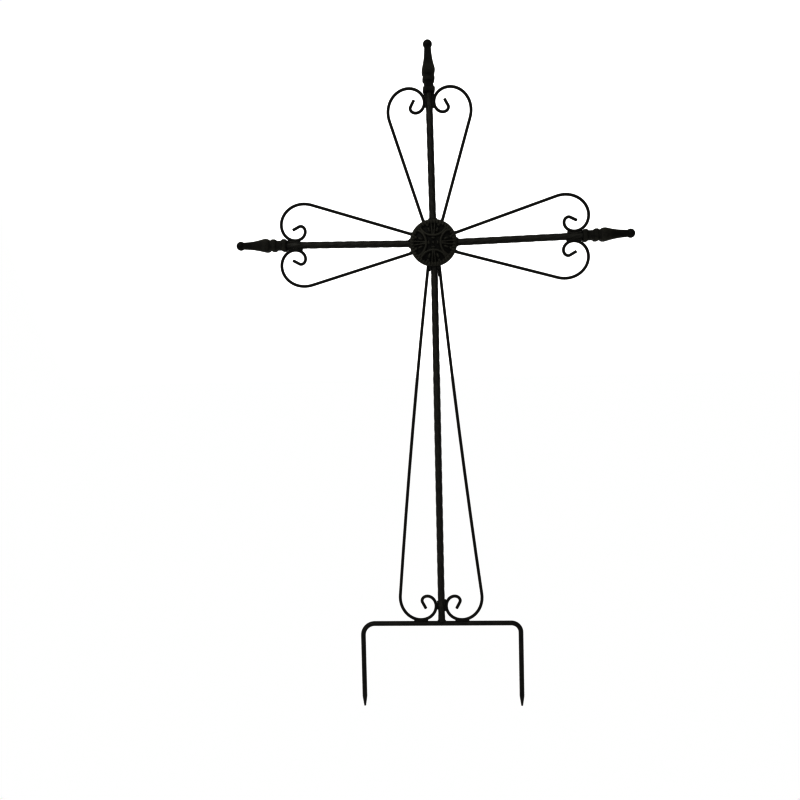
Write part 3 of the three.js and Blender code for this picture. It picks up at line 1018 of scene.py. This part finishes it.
class CROSS_OT_stage(bpy.types.Operator):
    """Lays the pale floor and sets the light and the camera"""

    bl_idname = "iron_cross.stage"
    bl_label = "Stage"

    def execute(self, context):
        stage = context.scene.studio_stage
        self.floor(context, stage)
        self.room(context)
        self.key_light(context)
        self.camera(context, stage)
        context.scene.view_settings.view_transform = "Standard"
        context.scene.view_settings.gamma = PRINT_GAMMA
        return {"FINISHED"}

    def floor(self, context, stage):
        """A pale floor at the tips of the tines, which the camera sees as plain white."""
        bpy.ops.object.select_all(action="DESELECT")
        depth = context.scene.cross_sizes.tine_depth
        bpy.ops.mesh.primitive_plane_add(size=FLOOR_SIZE, location=(0, 0, -depth))
        floor = context.object
        floor.name = "floor"
        apply_place(floor)
        material = bpy.data.materials.new("Pale floor")
        material.use_nodes = True
        tree = material.node_tree
        shader = tree.nodes["Principled BSDF"]
        shader.inputs["Base Color"].default_value = (*stage.floor, 1)
        shader.inputs["Roughness"].default_value = 0.9
        shader.inputs["Specular IOR Level"].default_value = 0.1
        bright = tree.nodes.new("ShaderNodeEmission")
        bright.inputs["Color"].default_value = (1, 1, 1, 1)
        mix = tree.nodes.new("ShaderNodeMixShader")
        seen = tree.nodes.new("ShaderNodeLightPath").outputs["Is Camera Ray"]
        tree.links.new(seen, mix.inputs["Fac"])
        tree.links.new(shader.outputs["BSDF"], mix.inputs[1])
        tree.links.new(bright.outputs["Emission"], mix.inputs[2])
        tree.links.new(mix.outputs["Shader"], tree.nodes["Material Output"].inputs["Surface"])
        floor.data.materials.append(material)

    def room(self, context):
        """A dim room with broad lights at the front and the back, which the camera sees as plain white."""
        world = bpy.data.worlds.new("Studio")
        world.use_nodes = True
        tree = world.node_tree
        background = tree.nodes["Background"]
        background.inputs["Color"].default_value = (1, 1, 1, 1)
        ray = tree.nodes.new("ShaderNodeTexCoord").outputs["Generated"]
        strength = tree.nodes.new("ShaderNodeLightPath").outputs["Is Camera Ray"]
        for softbox in SOFTBOXES:
            strength = calculate(tree, "MAXIMUM", self.softbox(tree, ray, *softbox), strength)
        tree.links.new(strength, background.inputs["Strength"])
        context.scene.world = world

    def softbox(self, tree, ray, towards, edge, bright):
        """Light that grows from its edge, the cosine of an angle, to its middle in one direction."""
        facing = tree.nodes.new("ShaderNodeVectorMath")
        facing.operation = "DOT_PRODUCT"
        facing.inputs[1].default_value = Vector(towards).normalized()
        tree.links.new(ray, facing.inputs[0])
        return spread(tree, facing.outputs["Value"], (edge, SOFTBOX_FULL), (ROOM_LIGHT, bright))

    def key_light(self, context):
        """A soft light from the upper left."""
        sun = bpy.data.lights.new("Soft key", "SUN")
        sun.energy = KEY_STRENGTH
        sun.angle = KEY_SPREAD
        key = bpy.data.objects.new("Soft key", sun)
        key.rotation_euler = KEY_TURN
        context.scene.collection.objects.link(key)

    def camera(self, context, stage):
        """The camera, placed by where the medallion lies in its view."""
        lens = bpy.data.cameras.new("Camera")
        lens.lens = stage.lens
        lens.sensor_width = SENSOR
        camera = bpy.data.objects.new("Camera", lens)
        turn = (
            Matrix.Rotation(stage.yaw, 4, "Z")
            @ Matrix.Rotation(QUARTER + stage.pitch, 4, "X")
            @ Matrix.Rotation(-stage.roll, 4, "Z")
        )
        seen = Vector((stage.medallion_right, stage.medallion_up, -stage.distance))
        medallion = Vector((0, 0, context.scene.cross_sizes.height))
        camera.matrix_world = Matrix.Translation(medallion - turn @ seen) @ turn
        context.scene.collection.objects.link(camera)
        context.scene.camera = camera


class CROSS_PT_panel(bpy.types.Panel):
    """Lists the steps and the sizes in the sidebar"""

    bl_idname = "CROSS_PT_panel"
    bl_label = "Wrought iron cross"
    bl_space_type = "VIEW_3D"
    bl_region_type = "UI"
    bl_category = "Iron cross"

    def draw(self, context):
        for group in SETTINGS:
            box = self.layout.box()
            settings = getattr(context.scene, group)
            for name in settings.__annotations__:
                box.prop(settings, name)
        for operator in OPERATORS:
            self.layout.operator(operator.bl_idname)


OPERATORS = (
    CROSS_OT_stake,
    CROSS_OT_bars,
    CROSS_OT_scrolls,
    CROSS_OT_finials,
    CROSS_OT_medallion,
    CROSS_OT_welds,
    CROSS_OT_stage,
)
SETTINGS = {
    "cross_sizes": CrossSizes,
    "scroll_shape": ScrollShape,
    "iron_finish": IronFinish,
    "studio_stage": StudioStage,
}


def register():
    for group in SETTINGS.values():
        bpy.utils.register_class(group)
    for name, group in SETTINGS.items():
        setattr(bpy.types.Scene, name, PointerProperty(type=group))
    for operator in OPERATORS:
        bpy.utils.register_class(operator)
    bpy.utils.register_class(CROSS_PT_panel)


def unregister():
    bpy.utils.unregister_class(CROSS_PT_panel)
    for operator in reversed(OPERATORS):
        bpy.utils.unregister_class(operator)
    for name, group in reversed(SETTINGS.items()):
        delattr(bpy.types.Scene, name)
        bpy.utils.unregister_class(group)


def main():
    register()
    bpy.ops.iron_cross.stake()
    bpy.ops.iron_cross.bars()
    bpy.ops.iron_cross.scrolls()
    bpy.ops.iron_cross.finials()
    bpy.ops.iron_cross.medallion()
    bpy.ops.iron_cross.welds()
    bpy.ops.iron_cross.stage()


if __name__ == "__main__":
    main()
